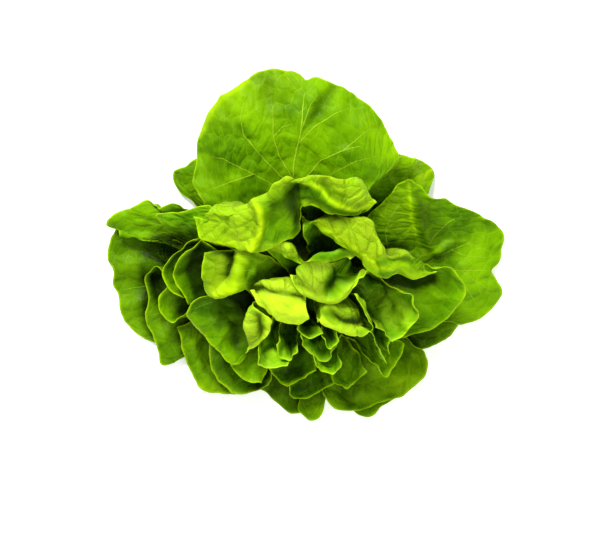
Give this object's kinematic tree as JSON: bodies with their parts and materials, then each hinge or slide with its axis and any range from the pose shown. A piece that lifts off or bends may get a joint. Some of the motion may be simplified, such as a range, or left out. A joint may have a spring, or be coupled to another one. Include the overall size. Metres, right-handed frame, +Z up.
{
  "type": "butterhead lettuce head",
  "caption": "Loose rosette of soft waved green leaves on a short cut stem, lying tilted with its pale heart facing up and forwards.",
  "frame": {"origin": "centre of the small flat spot that the head rests on, under the front edge of its stem", "axes": "+Z up, with the surface that it lies on at Z = 0; +Y towards the big leaf at the back, so the heart tilts up and towards -Y; +X to the viewer's right"},
  "size_m": [0.2754, 0.2435, 0.1173],
  "materials": {
    "outer_leaf_green": "soft satin dark green leaf with pale veins",
    "middle_leaf_green": "soft satin mid green leaf with pale veins",
    "heart_leaf_green": "soft satin yellow-green leaf with pale rims",
    "stem_cream": "matt moist cream cut stem"
  },
  "bodies": {
    "root": {"outer_leaf_back_left": "outer_leaf_green", "outer_leaf_back_right": "outer_leaf_green", "outer_leaf_front_right_low": "outer_leaf_green", "outer_leaf_right_low": "outer_leaf_green", "outer_leaf_front": "outer_leaf_green", "outer_leaf_left": "outer_leaf_green", "outer_leaf_front_tip": "outer_leaf_green", "outer_leaf_front_right": "outer_leaf_green", "outer_leaf_left_curled": "outer_leaf_green", "outer_leaf_front_left": "outer_leaf_green", "outer_leaf_right": "outer_leaf_green", "outer_leaf_back": "outer_leaf_green", "middle_leaf_far_left": "middle_leaf_green", "middle_leaf_front_left": "middle_leaf_green", "middle_leaf_left_band": "middle_leaf_green", "middle_leaf_left_cup": "middle_leaf_green", "middle_leaf_left_hollow": "middle_leaf_green", "middle_leaf_left_inner": "middle_leaf_green", "middle_leaf_right": "middle_leaf_green", "middle_leaf_back_wave": "middle_leaf_green", "middle_leaf_front_dark": "middle_leaf_green", "middle_leaf_front_edge": "middle_leaf_green", "middle_leaf_front_point": "middle_leaf_green", "middle_leaf_right_point": "middle_leaf_green", "middle_leaf_front_lip": "middle_leaf_green", "middle_leaf_right_fold": "middle_leaf_green", "middle_leaf_left_front": "middle_leaf_green", "middle_leaf_left_fold": "middle_leaf_green", "heart_leaf_back": "heart_leaf_green", "heart_leaf_right_cup": "heart_leaf_green", "heart_leaf_right_ring": "heart_leaf_green", "heart_leaf_right_edge": "heart_leaf_green", "heart_leaf_bright": "heart_leaf_green", "heart_leaf_lip": "heart_leaf_green", "heart_leaf_left_strip": "heart_leaf_green", "heart_leaf_front_left": "heart_leaf_green", "heart_leaf_front_right": "heart_leaf_green", "heart_leaf_small_left": "heart_leaf_green", "heart_leaf_front": "heart_leaf_green", "heart_leaf_right_small": "heart_leaf_green", "heart_leaf_cup": "heart_leaf_green", "stem": "stem_cream"}
  },
  "joints": []
}
